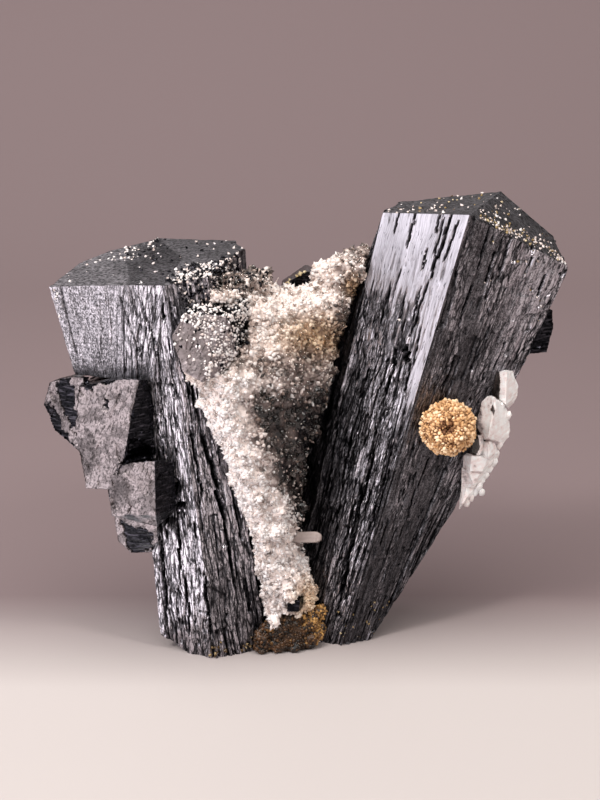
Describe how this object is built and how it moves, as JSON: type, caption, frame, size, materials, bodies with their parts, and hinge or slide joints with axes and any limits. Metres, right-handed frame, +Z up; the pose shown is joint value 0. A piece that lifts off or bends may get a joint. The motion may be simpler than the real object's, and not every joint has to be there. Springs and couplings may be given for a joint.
{
  "type": "ilvaite specimen",
  "caption": "Striated black prisms standing in a V, grown together by a crust of fine quartz, with small crystals and a granular brown ball; rests on a flat foot.",
  "frame": {"origin": "middle of the bounding box, on the surface that the foot rests on", "axes": "+Z up, -Y towards the viewer of the front, +X to the right seen from the front"},
  "size_m": [0.0722, 0.0328, 0.0627],
  "materials": {
    "ilvaite": "black, submetallic lustre, striated",
    "quartz": "clear to milky, glassy",
    "stained_quartz": "iron-stained, rough",
    "brown_ball": "granular, dull"
  },
  "bodies": {
    "root": {"left_crystal": "ilvaite", "right_crystal": "ilvaite", "middle_crystal": "ilvaite", "side_crystals": "ilvaite", "rear_crystal": "ilvaite", "back_right_crystal": "ilvaite", "dark_cube": "ilvaite", "quartz_druse": "quartz", "quartz_cluster": "quartz", "clear_needle": "quartz", "stained_base": "stained_quartz", "brown_ball": "brown_ball"}
  },
  "joints": []
}
